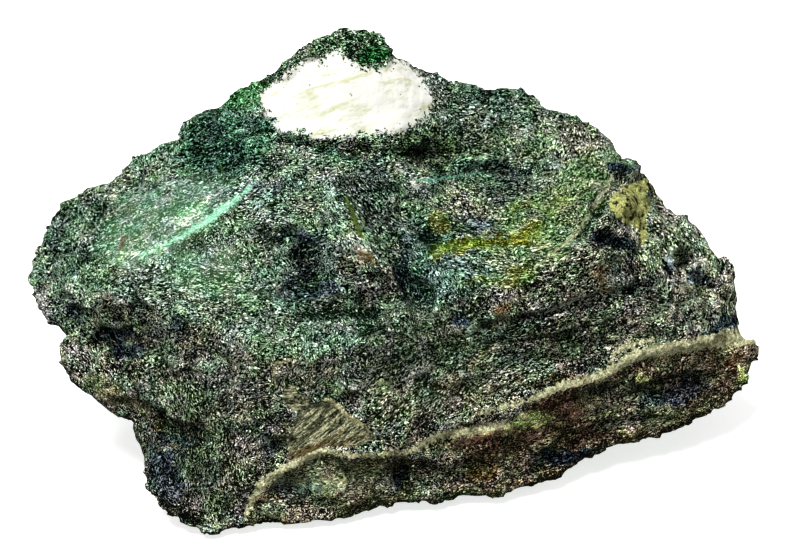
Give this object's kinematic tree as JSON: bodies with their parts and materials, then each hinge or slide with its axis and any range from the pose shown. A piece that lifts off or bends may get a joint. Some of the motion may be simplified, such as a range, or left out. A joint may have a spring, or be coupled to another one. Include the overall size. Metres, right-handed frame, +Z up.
{
  "type": "serpentine rock",
  "caption": "Broken hand specimen of dark green serpentine with a pale vein and a bare patch of white paint; rests on a small flat spot.",
  "frame": {"origin": "middle of the foot of the bounding box, on the surface that the stone rests on", "axes": "+X to the right along the long side, +Y from the display side to the back, +Z up"},
  "size_m": [0.121, 0.0758, 0.0643],
  "materials": {
    "serpentine": "rough broken stone, dark green with paler green, yellow-green, rust and cream markings and a patch of flat white paint"
  },
  "bodies": {
    "root": {"rock": "serpentine"}
  },
  "joints": []
}
